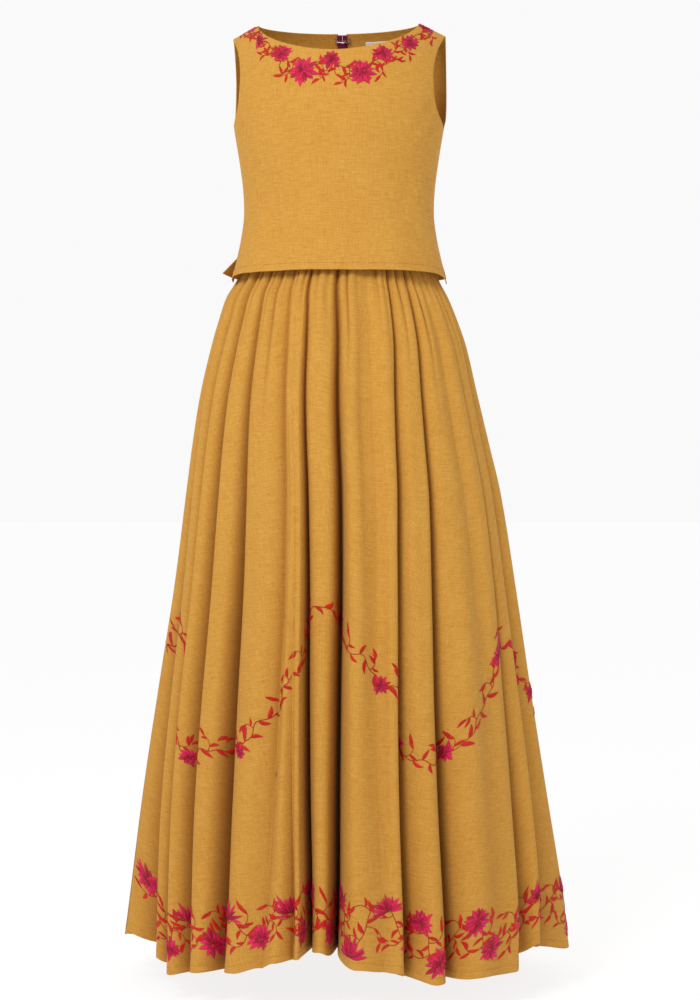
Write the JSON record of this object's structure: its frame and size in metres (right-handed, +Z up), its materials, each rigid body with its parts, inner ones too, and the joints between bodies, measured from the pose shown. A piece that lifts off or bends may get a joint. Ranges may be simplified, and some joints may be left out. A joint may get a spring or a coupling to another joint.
{
  "type": "sleeveless long dress",
  "caption": "Sleeveless girl's long dress: boat neck, loose straight bodice over a gathered flared skirt, back zip with hook and eye, embroidered neck, swags and hem.",
  "frame": {"origin": "midway between the two points where the shoulder seams meet the neck, where the wearer's shoulders hold the dress up", "axes": "+Z up, the front of the dress faces -Y, +X towards the wearer's left"},
  "size_m": [0.5755, 0.4952, 1.2033],
  "materials": {
    "cloth": "matt plain weave of slubby yarn, mustard",
    "embroidery": "thread with a soft sheen, pink flowers, red leaves, brown-red stems",
    "zip_tape": "woven tape, berry",
    "zip_teeth": "nylon coil, berry",
    "zip_slider": "enamelled, berry",
    "hook_and_eye": "bright nickel-plated wire",
    "label": "smooth white woven tape"
  },
  "bodies": {
    "dress": {"bodice_front": "cloth", "bodice_back_left": "cloth", "bodice_back_right": "cloth", "waistband": "cloth", "skirt_front": "cloth", "skirt_back": "cloth", "zip_tape_left": "zip_tape", "zip_tape_right": "zip_tape", "zip_chain": "zip_teeth", "zip_slider": "zip_slider", "hook": "hook_and_eye", "eye": "hook_and_eye", "neck_label": "label"},
    "zip_pull": {"zip_pull": "zip_slider"}
  },
  "joints": [
    {"name": "pull_swing", "type": "hinge", "parent": "dress", "child": "zip_pull", "pos_m": [0, 0.07232, -0.01325], "axis": [1, 0, 0], "range_deg": [0, 150]}
  ]
}
